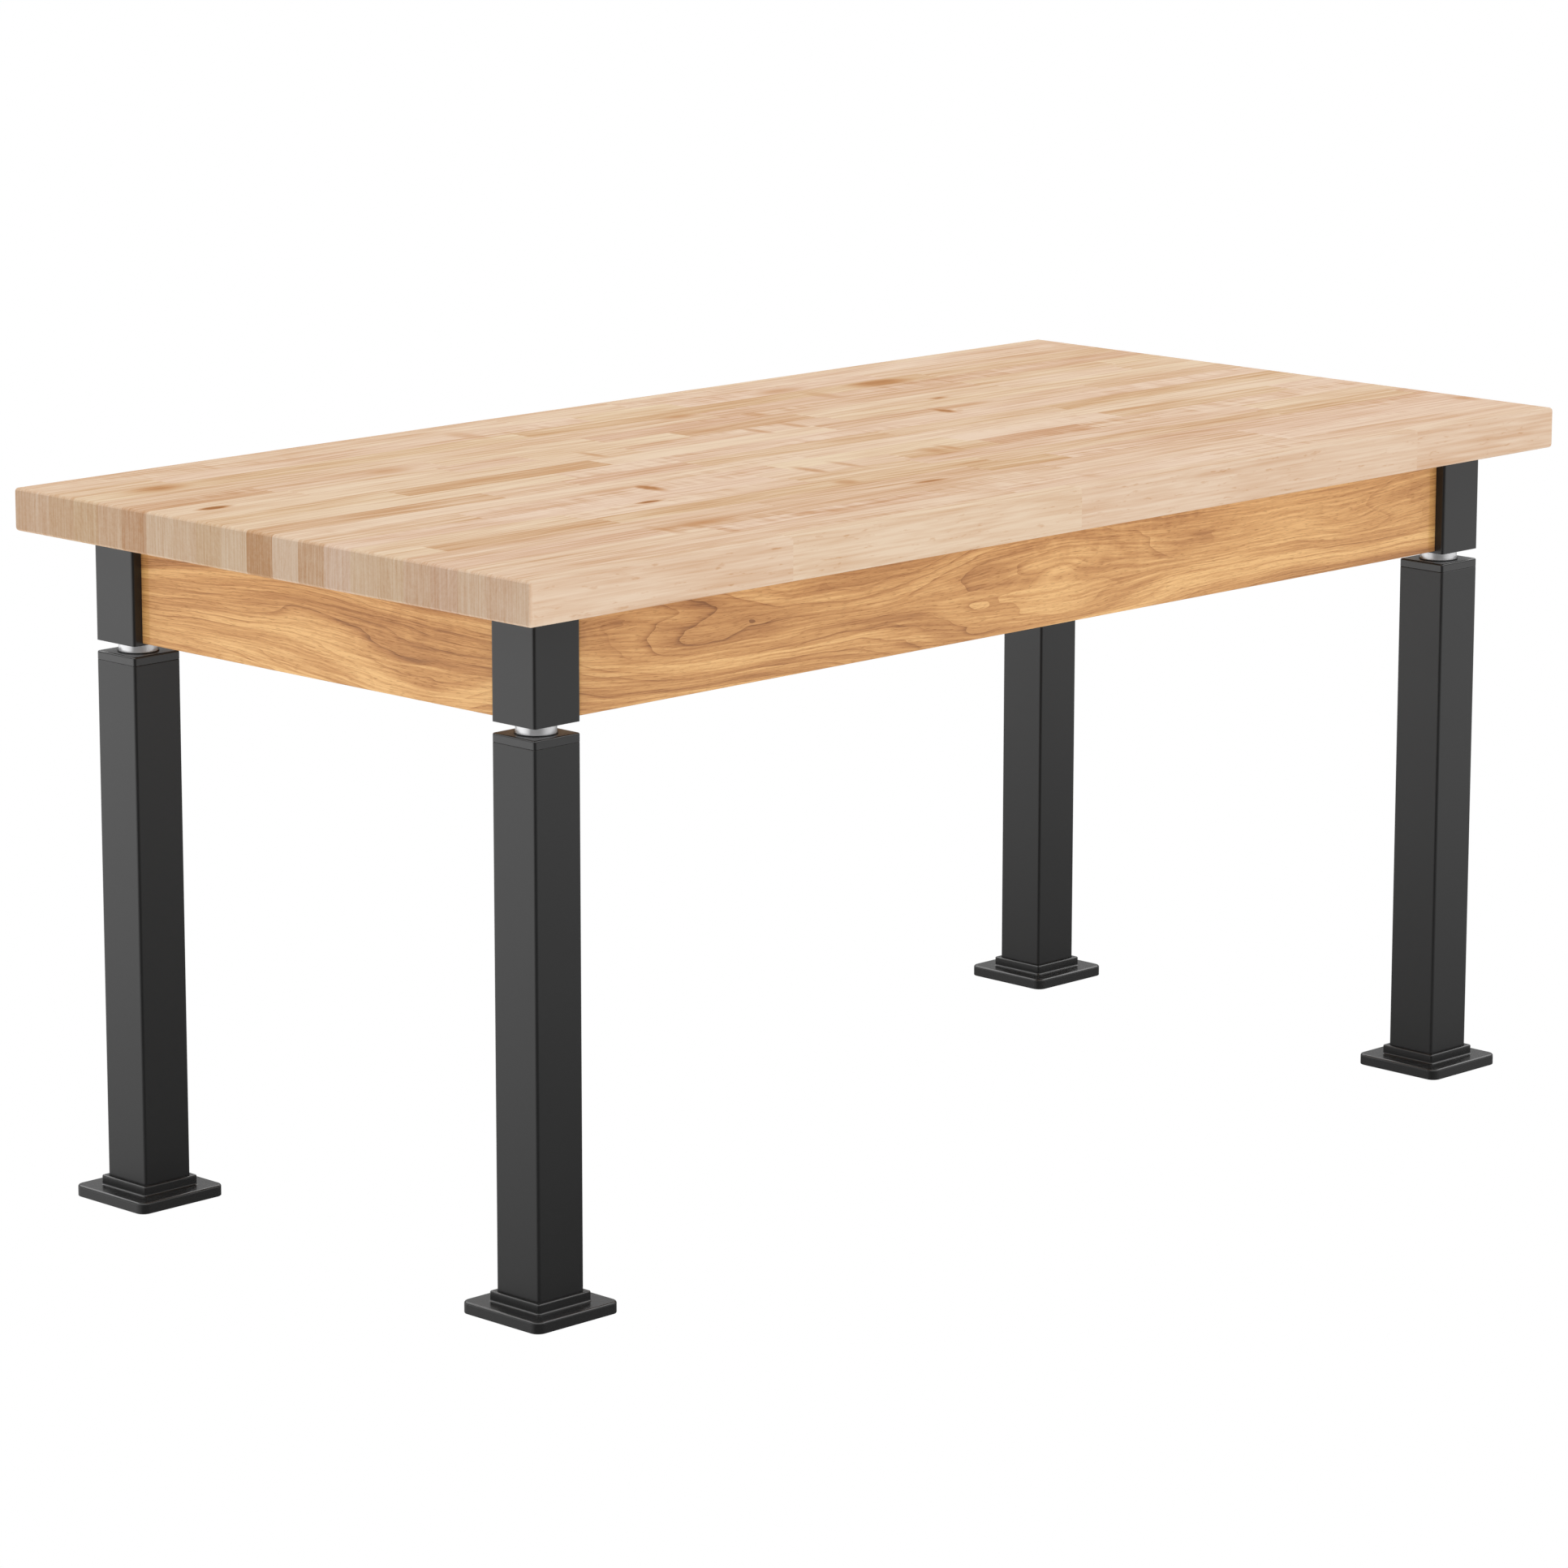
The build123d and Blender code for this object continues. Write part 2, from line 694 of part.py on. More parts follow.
clip_size = 12
clip_seats = [
    (-604, -hose_line, plate_bottom),
    (-604, hose_line, plate_bottom),
    (-440, hose_line, top_underside),
    (-260, hose_line, top_underside),
]

with BuildPart() as hose_clips:
    for x, y, seat in clip_seats:
        with BuildSketch(Plane.XY.offset(hose_z - clip_size / 2)):
            with Locations((x, y)):
                Rectangle(clip_size, clip_size)
        extrude(amount=seat - hose_z + clip_size / 2)
        with BuildSketch(Plane((x - clip_size / 2, y, hose_z), z_dir=(1, 0, 0))):
            Circle(hose_radius)
        extrude(amount=clip_size, mode=Mode.SUBTRACT)
    mirror(about=Plane.YZ)
keep(hose_clips, "hose_clips")
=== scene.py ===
import math
import random

import bmesh
import bpy
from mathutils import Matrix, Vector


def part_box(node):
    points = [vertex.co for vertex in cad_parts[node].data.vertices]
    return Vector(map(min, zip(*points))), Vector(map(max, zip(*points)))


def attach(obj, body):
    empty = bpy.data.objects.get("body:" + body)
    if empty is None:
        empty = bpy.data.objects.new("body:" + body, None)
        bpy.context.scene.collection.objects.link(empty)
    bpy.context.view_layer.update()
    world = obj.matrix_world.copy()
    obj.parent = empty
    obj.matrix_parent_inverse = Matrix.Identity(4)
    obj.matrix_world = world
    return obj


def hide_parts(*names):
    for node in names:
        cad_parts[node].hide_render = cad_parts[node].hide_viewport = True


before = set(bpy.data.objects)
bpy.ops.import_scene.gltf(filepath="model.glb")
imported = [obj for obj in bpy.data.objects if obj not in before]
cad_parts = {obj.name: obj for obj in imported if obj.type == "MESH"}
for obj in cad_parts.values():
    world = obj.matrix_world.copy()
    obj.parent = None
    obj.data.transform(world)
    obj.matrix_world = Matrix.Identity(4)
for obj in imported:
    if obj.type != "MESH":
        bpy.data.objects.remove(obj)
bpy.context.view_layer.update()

# Studio: a white floor below the reach of the lowered legs, which lights and isn't drawn, under
# an even white sky, so that every face is lit alike. Gloss sees a dome instead, bright overhead
# and on the left, dark low off the front left corner, and a floor card dark under the table.

SWEEP = 60.0
FLOOR_DROP = 0.31
CARD_SIZE = SWEEP / 4
CARD_GAP = 0.004
CARD_DARK = 1.115
CARD_DARK_LEFT = 0.115
CARD_FADE = 0.23
CARD_FADE_LEFT = 0.03
CARD_DARKEST = 0.88
DIAGONAL = 0.5 ** 0.5
NEAR_ZERO = 0.001
SOFTBOX_SIZE = 2.4
SOFTBOX_POWER = 1
SOFTBOX_PLACE = (1.6, 0.2, 3.0)
CAMERA_PLACE = (-4.6474, -4.5606, 1.7607)
CAMERA_PITCH = math.radians(90 - 12.14)
CAMERA_YAW = math.radians(-45.0)
CAMERA_LENS = 144.2
CAMERA_SHIFT = (0.0179, 0.0092)
CAMERA_REACH = 200


class Wire:
    """A socket in a node tree. Arithmetic on wires adds Math nodes, and node() adds any other node."""

    def __init__(self, tree, socket=None):
        self.tree = tree
        self.socket = socket

    def node(self, kind, settings=None, output=0, **values):
        made = self.tree.nodes.new("ShaderNode" + kind)
        for name, value in (settings or {}).items():
            if name == "stops":
                made.color_ramp.elements.remove(made.color_ramp.elements[1])
                made.color_ramp.elements[0].position = value[0][0]
                made.color_ramp.elements[0].color = (*value[0][1], 1)
                for place, colour in value[1:]:
                    made.color_ramp.elements.new(place).color = (*colour, 1)
            else:
                setattr(made, name, value)
        for name, value in values.items():
            key = int(name[1:]) if name[0] == "_" else name.replace("_", " ")
            if isinstance(value, Wire):
                self.tree.links.new(value.socket, made.inputs[key])
            else:
                made.inputs[key].default_value = value
        return Wire(self.tree, made.outputs[output] if made.outputs else None)

    def maths(self, operation, first, second=0.0):
        return self.node("Math", {"operation": operation}, _0=first, _1=second)

    def __add__(self, other):
        return self.maths("ADD", self, other)

    def __sub__(self, other):
        return self.maths("SUBTRACT", self, other)

    def __mul__(self, other):
        return self.maths("MULTIPLY", self, other)

    def __truediv__(self, other):
        return self.maths("DIVIDE", self, other)

    def __pow__(self, other):
        return self.maths("POWER", self, other)

    def __rsub__(self, other):
        return self.maths("SUBTRACT", other, self)

    def __neg__(self):
        return self.maths("MULTIPLY", self, -1.0)

    __radd__ = __add__
    __rmul__ = __mul__

    def fraction(self):
        return self.maths("FRACT", self)

    def step(self, low, high):
        """0 below low and 1 above high, with a smooth change between."""
        settings = {"interpolation_type": "SMOOTHSTEP"}
        return self.node("MapRange", settings, Value=self, From_Min=low, From_Max=high)

    def shade(self, stops):
        """The colour of a ramp at this value."""
        return self.node("ValToRGB", {"stops": stops}, Fac=self)

    def mixed(self, other, amount, blend="MIX"):
        """This colour blended with another one."""
        settings = {"data_type": "RGBA", "blend_type": blend}
        other = other if isinstance(other, Wire) else (*other, 1)
        return self.node("Mix", settings, 2, _0=amount, _6=self, _7=other)

    def stretched(self, x, y, z):
        """This vector with each axis multiplied by its own number."""
        return self.node("VectorMath", {"operation": "MULTIPLY"}, _0=self, _1=(x, y, z))

    def moved(self, other):
        return self.node("VectorMath", {"operation": "ADD"}, _0=self, _1=other)

    def noise(self, scale=1.0, detail=2.0, roughness=0.5):
        look = {"Scale": scale, "Detail": detail, "Roughness": roughness}
        return self.node("TexNoise", None, "Fac", Vector=self, **look)

    def vector(self, x, y, z):
        return self.node("CombineXYZ", X=x, Y=y, Z=z)

    def part(self, axis):
        return self.node("SeparateXYZ", None, axis, Vector=self)


def blank(name):
    """A new material with an empty node tree, and a wire to start from."""
    material = bpy.data.materials.new(name)
    material.use_nodes = True
    material.node_tree.nodes.clear()
    return material, Wire(material.node_tree)


white, sweep = blank("white_sweep")
sweep.node("OutputMaterial", Surface=sweep.node("Emission", Color=(1, 1, 1, 1)))
bpy.ops.object.select_all(action="DESELECT")
bpy.ops.mesh.primitive_plane_add(size=SWEEP, location=(0, 0, -FLOOR_DROP))
studio_floor = bpy.context.object
studio_floor.name = "studio_floor"
studio_floor.data.materials.append(white)
studio_floor.visible_glossy = False
studio_floor.visible_camera = False


def grey(level):
    """A neutral colour."""
    return (level,) * 3


def low_glow(leftward, cornerward):
    """Gloss light from below the horizon: bright on the left, dark off the front left corner."""
    glow = (leftward * 0.5 + 0.5).shade([
        (0.0, grey(1.25)), (0.35, grey(0.4)), (0.65, grey(1.0)), (0.95, grey(2.1))])
    return glow.mixed(grey(0.10), cornerward.step(0.76, 0.91))


shade_card, card = blank("floor_shade_card")
card_place = card.node("TexCoord", None, "Object")
card_reach = card_place.node("VectorMath", {"operation": "LENGTH"}, "Value", _0=card_place) + NEAR_ZERO
card_left = (card_place.part("Y") - card_place.part("X")) * DIAGONAL
card_corner = -(card_place.part("Y") + card_place.part("X")) * DIAGONAL
card_aim = card_left / card_reach
card_fade = card_left.maths("ABSOLUTE", card_left) * (CARD_FADE - card_aim * CARD_FADE_LEFT)
card_shade = CARD_DARK - card_aim * CARD_DARK_LEFT - card_fade
card_shade = card_shade.maths("MINIMUM", card_shade, CARD_DARKEST)
card_light = low_glow(card_aim, card_corner / card_reach).mixed((0.0, 0.0, 0.0), card_shade)
card.node("OutputMaterial", Surface=card.node("Emission", Color=card_light))
bpy.ops.object.select_all(action="DESELECT")
bpy.ops.mesh.primitive_plane_add(size=CARD_SIZE, location=(0, 0, -FLOOR_DROP - CARD_GAP))
floor_shade = bpy.context.object
floor_shade.name = "floor_shade"
floor_shade.data.materials.append(shade_card)

dome_glow, dome_wire = blank("gloss_dome")
toward_sky = dome_wire.node("TexCoord", None, "Object").stretched(2 / SWEEP, 2 / SWEEP, 2 / SWEEP)
leftward = (toward_sky.part("Y") - toward_sky.part("X")) * DIAGONAL
cornerward = -(toward_sky.part("Y") + toward_sky.part("X")) * DIAGONAL
upward = toward_sky.part("Z")
high_light = upward.shade([
    (0.10, grey(0.35)), (0.42, grey(0.5)), (0.54, grey(3.2)), (0.78, grey(3.2)), (0.88, grey(0.6))])
dome_light = low_glow(leftward, cornerward).mixed(high_light, upward.step(-0.05, 0.10))
dome_wire.node("OutputMaterial", Surface=dome_wire.node("Emission", Color=dome_light))
bpy.ops.object.select_all(action="DESELECT")
bpy.ops.mesh.primitive_uv_sphere_add(segments=64, ring_count=32, radius=SWEEP / 2)
gloss_dome = bpy.context.object
gloss_dome.name = "gloss_dome"
gloss_dome.data.materials.append(dome_glow)
for gloss_only in (floor_shade, gloss_dome):
    gloss_only.visible_camera = False
    gloss_only.visible_diffuse = False
    gloss_only.visible_shadow = False
    gloss_only.visible_transmission = False
for glow in (white, shade_card, dome_glow):
    glow.cycles.emission_sampling = "NONE"

softbox = bpy.data.objects.new("softbox", bpy.data.lights.new("softbox", "AREA"))
softbox.data.size = SOFTBOX_SIZE
softbox.data.energy = SOFTBOX_POWER
softbox.location = SOFTBOX_PLACE
softbox.visible_camera = False
softbox.visible_glossy = False
bpy.context.scene.collection.objects.link(softbox)

world = bpy.data.worlds.new("studio")
bpy.context.scene.world = world
world.use_nodes = True
world.node_tree.nodes["Background"].inputs["Color"].default_value = (1, 1, 1, 1)
world.cycles_visibility.glossy = False

camera_data = bpy.data.cameras.new("camera")
camera = bpy.data.objects.new("camera", camera_data)
bpy.context.scene.collection.objects.link(camera)
camera.location = CAMERA_PLACE
camera.rotation_euler = (CAMERA_PITCH, 0, CAMERA_YAW)
camera_data.lens = CAMERA_LENS
camera_data.shift_x, camera_data.shift_y = CAMERA_SHIFT
camera_data.clip_end = CAMERA_REACH
bpy.context.scene.camera = camera
bpy.context.scene.view_settings.view_transform = "Standard"

# Butcher block top: hard maple staves glued edge to edge into one slab, each row made of
# boards of random length butted end to end. Planed flush, its edges eased with a router,
# and finished with oil.

ROW = 0.03785
FIRST_ROW = 0.019
EASED_EDGE = 0.004
ARRIS_STEPS = 4
CREASE = math.radians(35)
MM_PER_METRE = 1000
BOARD_SEED = 11
GROWTH_RING = 0.0052
# One line a row from the back: where each board ends, in millimetres from the left end, then
# how dark each board is, from 0 for sapwood cream to 1 for brown heartwood.
cutting_list = [
    ((812,), (0.5, 0.3)),
    ((642, 812), (0.4, 0.22, 0.35)),
    ((129, 715, 858, 1167), (0.5, 0.32, 0.38, 0.28, 0.42)),
    ((592, 1217), (0.5, 0.72, 0.55)),
    ((833,), (0.5, 0.62)),
    ((168, 400, 623, 862, 1204, 1433), (0.72, 0.55, 0.3, 0.6, 0.68, 0.62, 0.4)),
    ((181, 381, 492, 715, 904, 1215, 1418), (0.3, 0.3, 0.32, 0.38, 0.75, 0.32, 0.3, 0.3)),
    ((608, 912), (0.34, 0.4, 0.28)),
    ((246, 527, 858, 1054, 1283), (0.45, 0.78, 0.04, 0.58, 0.42, 0.6)),
    ((442, 590), (0.25, 0.18, 0.3)),
    ((307, 415, 588, 877, 1138), (0.85, 0.5, 0.66, 0.62, 0.5, 0.75)),
    ((700, 1115), (0.2, 0.25, 0.18)),
    ((208, 632, 900, 1143, 1427), (0.6, 0.42, 0.1, 0.0, 0.62, 0.22)),
    ((579, 775, 912, 1067, 1167), (0.28, 0.34, 0.55, 0.95, 0.5, 0.32)),
    ((275, 590, 763, 1292), (0.32, 0.32, 0.55, 0.45, 0.38)),
    ((57, 285, 823, 1275, 1501), (0.38, 0.78, 0.6, 0.62, 0.75, 0.4)),
    ((462, 775, 896), (0.48, 0.6, 0.92, 0.5)),
    ((277, 838, 1154), (0.5, 0.62, 0.5, 0.42)),
    ((323, 633, 1150), (0.32, 0.45, 0.4, 0.22)),
    ((692, 1011), (0.4, 0.12, 0.36)),
    ((345, 758, 1290), (0.3, 0.2, 0.26, 0.32)),
]

slab_low, slab_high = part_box("butcher_block_top")
slab_size = slab_high - slab_low
bpy.ops.object.select_all(action="DESELECT")
bpy.ops.mesh.primitive_cube_add(size=1, location=(slab_low + slab_high) / 2)
maple_slab = bpy.context.object
maple_slab.name = "maple_slab"
maple_slab.scale = slab_size
bpy.ops.object.transform_apply(location=True, rotation=True, scale=True)
arris = maple_slab.modifiers.new("arris", "BEVEL")
arris.width = EASED_EDGE
arris.segments = ARRIS_STEPS
bpy.ops.object.modifier_apply(modifier="arris")

row_ends = [slab_high.y - FIRST_ROW - ROW * row for row in range(len(cutting_list) - 1)]
bpy.ops.object.mode_set(mode="EDIT")
bpy.context.tool_settings.mesh_select_mode = (False, False, True)
for row_end in row_ends:
    bpy.ops.mesh.select_all(action="SELECT")
    bpy.ops.mesh.bisect(plane_co=(0, row_end, 0), plane_no=(0, 1, 0))
row_limits = [1.0, *row_ends, -1.0]
for row, (board_ends, tones) in enumerate(cutting_list):
    for board_end in board_ends:
        bpy.ops.mesh.select_all(action="DESELECT")
        shape = bmesh.from_edit_mesh(maple_slab.data)
        for face in shape.faces:
            middle = face.calc_center_median().y
            if row_limits[row + 1] < middle < row_limits[row]:
                face.select_set(True)
        bmesh.update_edit_mesh(maple_slab.data)
        cut = (slab_low.x + board_end / MM_PER_METRE, 0, 0)
        bpy.ops.mesh.bisect(plane_co=cut, plane_no=(1, 0, 0))
bpy.ops.object.mode_set(mode="OBJECT")
bpy.ops.object.shade_smooth_by_angle(angle=CREASE)

random.seed(BOARD_SEED)
board_marks = {}
for row, (board_ends, tones) in enumerate(cutting_list):
    for board in range(len(tones)):
        board_marks[row, board] = (tones[board], random.random(), random.random())
slab_tone = maple_slab.data.attributes.new("tone", "FLOAT", "FACE")
slab_seed = maple_slab.data.attributes.new("seed", "FLOAT", "FACE")
slab_blush = maple_slab.data.attributes.new("blush", "FLOAT", "FACE")
slab_end = maple_slab.data.attributes.new("end_grain", "FLOAT", "FACE")
for face in maple_slab.data.polygons:
    row = sum(face.center.y < row_end for row_end in row_ends)
    along = (face.center.x - slab_low.x) * MM_PER_METRE
    board = sum(along > board_end for board_end in cutting_list[row][0])
    tone, seed, blush = board_marks[row, board]
    slab_tone.data[face.index].value = tone
    slab_seed.data[face.index].value = seed
    slab_blush.data[face.index].value = blush
    slab_end.data[face.index].value = abs(face.normal.x)

CREAM = (0.805, 0.640, 0.475)
BISCUIT = (0.700, 0.490, 0.325)
HEARTWOOD = (0.570, 0.325, 0.165)
KNOT_BROWN = (0.52, 0.235, 0.075)
KNOT_HEART = (0.30, 0.115, 0.032)
TOP_PAINTED_SHADE = (0.980, 0.980, 0.965)
END_CAST = (0.76, 0.75, 0.74)
# Knots and mineral stains: place from the slab's middle, half-length, half-width, strength.
stains = [
    (-0.662, 0.272, 0.036, 0.017, 0.85),
    (0.380, 0.268, 0.038, 0.017, 0.85),
    (-0.212, 0.306, 0.014, 0.024, 0.45),
    (0.250, 0.302, 0.034, 0.014, 0.55),
    (0.042, 0.246, 0.026, 0.010, 0.6),
    (0.263, 0.243, 0.010, 0.026, 0.4),
    (0.109, 0.198, 0.012, 0.016, 0.5),
    (-0.429, 0.193, 0.024, 0.014, 0.4),
    (-0.700, 0.143, 0.015, 0.006, 1.0),
    (0.338, 0.141, 0.016, 0.006, 1.0),
    (-0.205, 0.118, 0.006, 0.024, 0.55),
    (0.030, 0.116, 0.006, 0.024, 0.55),
    (0.086, 0.116, 0.007, 0.024, 0.55),
    (-0.104, 0.131, 0.060, 0.003, 0.6),
    (-0.295, 0.070, 0.070, 0.007, 0.5),
    (0.275, 0.074, 0.007, 0.020, 0.9),
    (0.313, 0.085, 0.040, 0.007, 0.55),
    (-0.349, -0.056, 0.050, 0.007, 0.45),
    (-0.312, -0.073, 0.008, 0.020, 0.9),
    (0.430, -0.060, 0.060, 0.005, 0.55),
    (-0.116, -0.111, 0.007, 0.024, 0.6),
    (-0.064, -0.111, 0.006, 0.024, 0.5),
    (0.066, -0.111, 0.018, 0.022, 0.6),
    (0.092, -0.111, 0.008, 0.024, 0.6),
    (-0.372, -0.134, 0.015, 0.006, 1.0),
    (0.060, -0.131, 0.036, 0.005, 0.8),
    (-0.145, -0.188, 0.013, 0.014, 0.6),
    (-0.079, -0.244, 0.025, 0.005, 0.9),
    (-0.420, -0.259, 0.044, 0.018, 0.85),
    (-0.474, -0.262, 0.008, 0.020, 0.6),
    (-0.308, -0.290, 0.018, 0.006, 0.6),
    (-0.270, -0.303, 0.026, 0.010, 0.45),
    (0.059, -0.336, 0.018, 0.016, 0.4),
    (0.746, -0.269, 0.012, 0.018, 0.6),
]


def surfaced(name, **settings):
    """A new material's shader, with constant settings on its own sockets, and a wire to start from."""
    material = bpy.data.materials.new(name)
    material.use_nodes = True
    shader = material.node_tree.nodes["Principled BSDF"]
    for socket, value in settings.items():
        shader.inputs[socket.replace("_", " ")].default_value = value
    return material, Wire(material.node_tree)


def finish_with(material, **wires):
    """Joins wires to the material's shader sockets."""
    shader = material.node_tree.nodes["Principled BSDF"]
    for socket, wire in wires.items():
        material.node_tree.links.new(wire.socket, shader.inputs[socket.replace("_", " ")])


maple, wood = surfaced("oiled_maple", Specular_IOR_Level=0.045)
tone = wood.node("Attribute", {"attribute_name": "tone"}, "Fac")
seed = wood.node("Attribute", {"attribute_name": "seed"}, "Fac")
blush = wood.node("Attribute", {"attribute_name": "blush"}, "Fac")
end_grain = wood.node("Attribute", {"attribute_name": "end_grain"}, "Fac")
place = wood.node("TexCoord", None, "Object")
log = place.moved(wood.vector(seed * 37.0, seed * 11.0, seed * 5.0))
drift = (log.stretched(2.2, 9, 9).noise(1, 2) - 0.5) * 0.035
drift = drift + (log.stretched(12, 40, 40).noise(1, 1) - 0.5) * 0.004
depth = log.part("Y") + log.part("Z") * (blush - 0.5) + drift
ring = (depth / GROWTH_RING).fraction() ** 4
ring_strength = log.stretched(4, 50, 50).noise(1, 1).step(0.40, 0.70)
fibre = log.stretched(11, 480, 420).noise(1, 3, 0.6) - 0.5
patch = log.stretched(6, 22, 22).noise(1, 2) - 0.5
streak = wood.vector(log.part("X") * 5, depth * 210, log.part("Z") * 190).noise(1, 2, 0.6) - 0.5
figured = log.stretched(3, 18, 18).noise(1, 1).step(0.50, 0.62) * blush.step(0.35, 0.75)
figure = (log.stretched(70, 12, 12).noise(1, 2, 0.6) - 0.5) * figured
fleck = log.stretched(45, 800, 210).noise(1, 2, 0.7).step(0.60, 0.72)
end_mark = wood.vector(log.part("Y") * 400, place.part("Z") * 7, seed * 9.0).noise(1, 3, 0.8) - 0.5
face_normal = wood.node("NewGeometry", None, "Normal")
top_shade_mask = face_normal.part("Z").step(0.5, 0.9)
long_edge = face_normal.part("Y").maths("ABSOLUTE", face_normal.part("Y")).step(0.5, 0.9)
side_grain = (patch * 0.85 + streak * 1.75 + fibre * 1.3) * (1 - end_grain * 0.75 - long_edge * 0.35)
end_shade = end_grain * (end_mark * 1.6 + tone * 0.25 - 0.10)
shade = tone * 0.82 + side_grain + figure * 1.3 + end_shade
shade = shade + ring * ring_strength * 0.18 + fleck * (long_edge * 0.2 + 0.16) + 0.015
maple_colour = shade.shade([(0.0, CREAM), (0.5, BISCUIT), (1.0, HEARTWOOD)])
cast = blush.shade([(0.0, (1.0, 0.995, 0.955)), (1.0, (1.0, 0.965, 1.02))])
maple_colour = maple_colour.mixed(cast, 1.0, "MULTIPLY")
stain = None
for x, y, half_length, half_width, strength in stains:
    offset = place.moved((-x, -y, 0)).stretched(1 / half_length, 1 / half_width, 0)
    reach = offset.node("VectorMath", {"operation": "LENGTH"}, "Value", _0=offset)
    mark = (1 - (reach + patch * 2.0 + streak * 1.6 + fibre).step(0.2, 1.5)) * strength
    stain = mark if stain is None else stain.maths("MAXIMUM", stain, mark)
maple_colour = maple_colour.mixed(KNOT_BROWN, stain).mixed(KNOT_HEART, stain ** 5 * 0.8)
maple_colour = maple_colour.mixed(END_CAST, end_grain.step(0.75, 0.95), "MULTIPLY")
# Painted shade: upward faces are multiplied a little darker and less blue, offsetting the extra light the
# top catches from above.
maple_colour = maple_colour.mixed(TOP_PAINTED_SHADE, top_shade_mask, "MULTIPLY")
maple_height = fibre * 0.5 + ring * 0.3 - fleck * 0.6
maple_bump = wood.node("Bump", Strength=0.25, Distance=0.0003, Height=maple_height)
finish_with(maple, Base_Color=maple_colour, Roughness=0.66 + fibre * 0.18 + figure * 0.1, Normal=maple_bump)
maple_slab.data.materials.append(maple)
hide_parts("butcher_block_top")
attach(maple_slab, "table")

# Aprons: four straight boards of golden flat-sawn hardwood between the leg sleeves, screwed to
# steel brackets behind, with bold cathedral grain along each board and short dark pores.

GOLD = (0.92, 0.57, 0.25)
HONEY = (0.70, 0.375, 0.150)
TAN = (0.53, 0.255, 0.098)
LATEWOOD = (0.33, 0.150, 0.062)
RING = 0.0062
PITH_HEIGHT = 0.64
PORE_CAST = (0.60, 0.50, 0.44)
END_SHADOW = (0.88, 0.84, 0.66)
SHADOW_START = 0.0125
SHADOW_FULL = 0.0095


def flat_sawn(name, length_axis, log_seed, slant, half_length):
    """A flat-sawn board: the saw skims the growth layers, so they show as long flames and loops."""
    material, wood = surfaced(name, Specular_IOR_Level=0.3)
    place = wood.node("TexCoord", None, "Object")
    along = place.part(length_axis)
    height = place.part("Z")
    board = wood.vector(along + log_seed, height + along * slant, log_seed)
    swell = board.stretched(1.6, 9, 1).noise(1, 1.5, 0.4) - 0.5
    waver = board.stretched(11, 40, 1).noise(1, 2) - 0.5
    depth = (height - PITH_HEIGHT) * 0.75 + swell * 0.15 + waver * 0.010
    ring = (depth / RING).fraction()
    line_strength = wood.vector(along * 5, depth * 90, log_seed).noise(1, 2).step(0.34, 0.66)
    latewood = ring ** 6 * line_strength
    band = wood.vector(along * 1.5, depth * 44, log_seed + 3).noise(1, 2, 0.5) - 0.5
    grain = wood.vector(along * 9, height * 280 + depth * 260, log_seed).noise(1, 4, 0.7) - 0.5
    pore = wood.vector(along * 85, height * 1100 + depth * 500, log_seed).noise(1, 1).step(0.60, 0.68)
    curled = board.stretched(2.5, 9, 1).noise(1, 1).step(0.54, 0.68)
    curl = (wood.vector(along * 55, height * 60, log_seed).noise(1, 2, 0.6) - 0.5) * curled
    shade = 0.36 + band * 2.1 + latewood * 0.50 + grain * 1.6 + curl * 0.8
    colour = shade.shade([(0.0, GOLD), (0.36, HONEY), (0.70, TAN), (1.0, LATEWOOD)])
    colour = colour.mixed(PORE_CAST, pore * 0.55, "MULTIPLY")
    edge = along.maths("ABSOLUTE", along).step(half_length - SHADOW_START, half_length - SHADOW_FULL)
    colour = colour.mixed(END_SHADOW, edge * 0.8, "MULTIPLY")
    relief = grain * 0.6 - pore * 0.9 + curl * 0.5 - latewood * 0.4
    bump = wood.node("Bump", Strength=0.4, Distance=0.0003, Height=relief)
    finish_with(material, Base_Color=colour, Roughness=0.55 + grain * 0.2 + pore * 0.1, Normal=bump)
    return material


apron_boards = {
    "apron_front": ("X", 4.1, 0.02),
    "apron_back": ("X", 7.7, -0.03),
    "apron_left": ("Y", 5.2, 0.06),
    "apron_right": ("Y", 9.3, -0.04),
}
for board_name, (length_axis, log_seed, slant) in apron_boards.items():
    half_length = getattr(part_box(board_name)[1], length_axis.lower())
    board_finish = flat_sawn("golden_" + board_name, length_axis, log_seed, slant, half_length)
    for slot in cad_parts[board_name].material_slots:
        slot.material = board_finish

# Legs and sleeves: square steel tube with a satin black powder coat, a fine even texture
# baked on. The sleeves hang under the top, and the tubes slide up to them.

coat, powder = surfaced("black_powder_coat", Specular_IOR_Level=0.5)
powder_place = powder.node("TexCoord", None, "Object")
grit = powder_place.noise(1500, 2, 0.6) - 0.5
cloud = powder_place.noise(9, 2) - 0.5
coat_colour = (grit * 0.6 + cloud * 0.5 + 0.5).shade([(0.0, grey(0.009)), (1.0, grey(0.015))])
coat_bump = powder.node("Bump", Strength=0.3, Distance=0.00005, Height=grit)
finish_with(coat, Base_Color=coat_colour, Roughness=0.36 + grit * 0.16 + cloud * 0.06, Normal=coat_bump)


def refinish(material, *starts):
    """Gives a finish to each CAD node whose name begins with one of the starts."""
    for name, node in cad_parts.items():
        if name.startswith(starts):
            for slot in node.material_slots:
                slot.material = material


refinish(coat, "sleeve_", "leg_tube_")

# Caps and feet: smooth black enamel over machined and welded steel, a little glossier
# than the tubes, with crisp rounded edges that catch the light.

